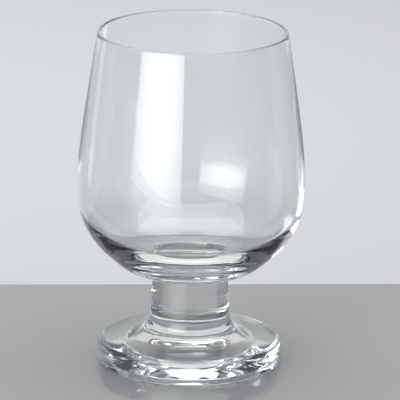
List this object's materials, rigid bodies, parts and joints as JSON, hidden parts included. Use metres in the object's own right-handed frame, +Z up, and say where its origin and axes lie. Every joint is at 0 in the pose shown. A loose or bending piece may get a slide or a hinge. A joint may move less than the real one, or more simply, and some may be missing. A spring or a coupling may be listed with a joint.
{
  "type": "stemmed water glass",
  "caption": "Clear drinking glass with a tall bowl on a short solid stem and a thick round foot, for water or another cold drink.",
  "frame": {"origin": "centre of the standing ring, on the table", "axes": "+Z up along the glass's axis, out of the mouth"},
  "size_m": [0.091, 0.091, 0.135],
  "materials": {
    "foot_glass": "clear, fire-polished, faintly blue-green where the glass is thick",
    "stem_glass": "clear, fire-polished",
    "bowl_glass": "clear, blown and fire-polished, faintly blue-green along the rim"
  },
  "bodies": {
    "root": {"foot": "foot_glass", "stem": "stem_glass", "bowl": "bowl_glass"}
  },
  "joints": []
}
